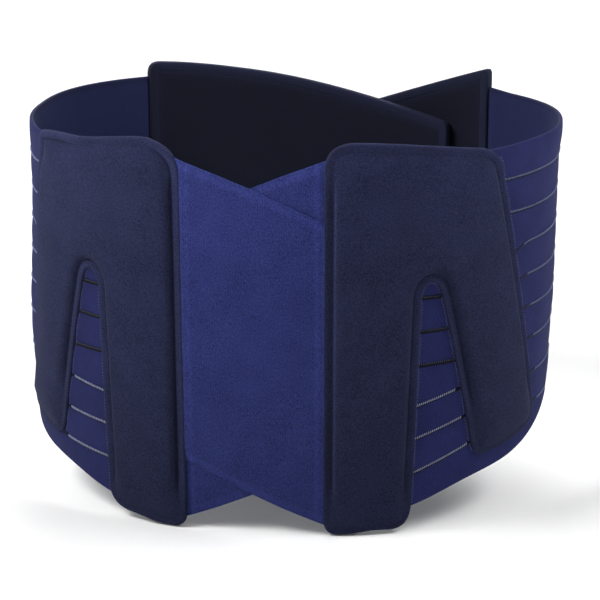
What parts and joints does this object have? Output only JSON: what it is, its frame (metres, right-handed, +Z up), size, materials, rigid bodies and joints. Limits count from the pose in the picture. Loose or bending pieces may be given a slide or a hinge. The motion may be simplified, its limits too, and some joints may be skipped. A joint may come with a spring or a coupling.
{
  "type": "lumbar support belt",
  "caption": "Wrap-around lumbar support belt with two padded, stayed back pads, crossed elastic back bands, ribbed side elastic and an overlapping hook-and-loop front closure.",
  "frame": {"origin": "centre of the waist ring, at the height of the lowest edge of the back pads", "axes": "+Z up the ring's axis as worn, +Y towards the front closure, +X towards the wearer's right"},
  "size_m": [0.3584, 0.3036, 0.262],
  "materials": {
    "pad_velour": "brushed navy velour over moulded foam",
    "pad_lining": "soft dark terry knit",
    "foam": "closed-cell foam, hidden inside the covers",
    "pocket_cloth": "woven tape",
    "stay_steel": "sprung flat steel",
    "band_velour": "bright blue brushed elastic",
    "side_elastic": "blue-violet twill elastic with stitched ribs",
    "panel_lining": "smooth, almost black navy knit",
    "panel_cover": "brushed navy knit",
    "panel_binding": "navy knitted binding",
    "hook_tape": "black nylon hooks",
    "loop_tape": "navy brushed loop"
  },
  "bodies": {
    "back_left": {"cross_band_outer": "band_velour", "cross_band_inner": "band_velour", "pad_cover_left": "pad_velour", "pad_foam_left": "foam", "pad_lining_left": "pad_lining", "stay_inner_left": "stay_steel", "stay_pocket_inner_left": "pocket_cloth", "stay_outer_left": "stay_steel", "stay_pocket_outer_left": "pocket_cloth", "back_elastic_left": "side_elastic"},
    "back_right": {"pad_cover_right": "pad_velour", "pad_foam_right": "foam", "pad_lining_right": "pad_lining", "stay_inner_right": "stay_steel", "stay_pocket_inner_right": "pocket_cloth", "stay_outer_right": "stay_steel", "stay_pocket_outer_right": "pocket_cloth", "back_elastic_right": "side_elastic"},
    "side_left": {"side_elastic_left": "side_elastic"},
    "side_right": {"side_elastic_right": "side_elastic"},
    "front_left": {"front_lining_left": "panel_lining", "front_core_left": "foam", "front_stay_left": "stay_steel", "front_cover_left": "panel_cover", "front_binding_left": "panel_binding", "loop_patch": "loop_tape"},
    "front_right": {"front_lining_right": "panel_lining", "front_core_right": "foam", "front_stay_right": "stay_steel", "front_cover_right": "panel_cover", "front_binding_right": "panel_binding", "hook_patch": "hook_tape"}
  },
  "joints": [
    {"name": "back_fold", "type": "hinge", "parent": "back_left", "child": "back_right", "pos_m": [0.04544, -0.15122, 0.13], "axis": [-0.0039, 0.0236, -0.9997], "range_deg": [0, 40]},
    {"name": "right_side_flex", "type": "hinge", "parent": "back_right", "child": "side_right", "pos_m": [0.17337, -0.03656, 0.13], "axis": [-0.0148, 0.0058, -0.9999], "range_deg": [0, 75]},
    {"name": "right_front_flex", "type": "hinge", "parent": "side_right", "child": "front_right", "pos_m": [0.12386, 0.10974, 0.13], "axis": [-0.0106, -0.0174, -0.9998], "range_deg": [0, 75]},
    {"name": "left_side_flex", "type": "hinge", "parent": "back_left", "child": "side_left", "pos_m": [-0.17103, -0.03602, 0.13], "axis": [0.0148, 0.0058, -0.9999], "range_deg": [0, 20]},
    {"name": "left_front_flex", "type": "hinge", "parent": "side_left", "child": "front_left", "pos_m": [-0.12249, 0.10777, 0.13], "axis": [0.0106, -0.0174, -0.9998], "range_deg": [0, 35]}
  ]
}
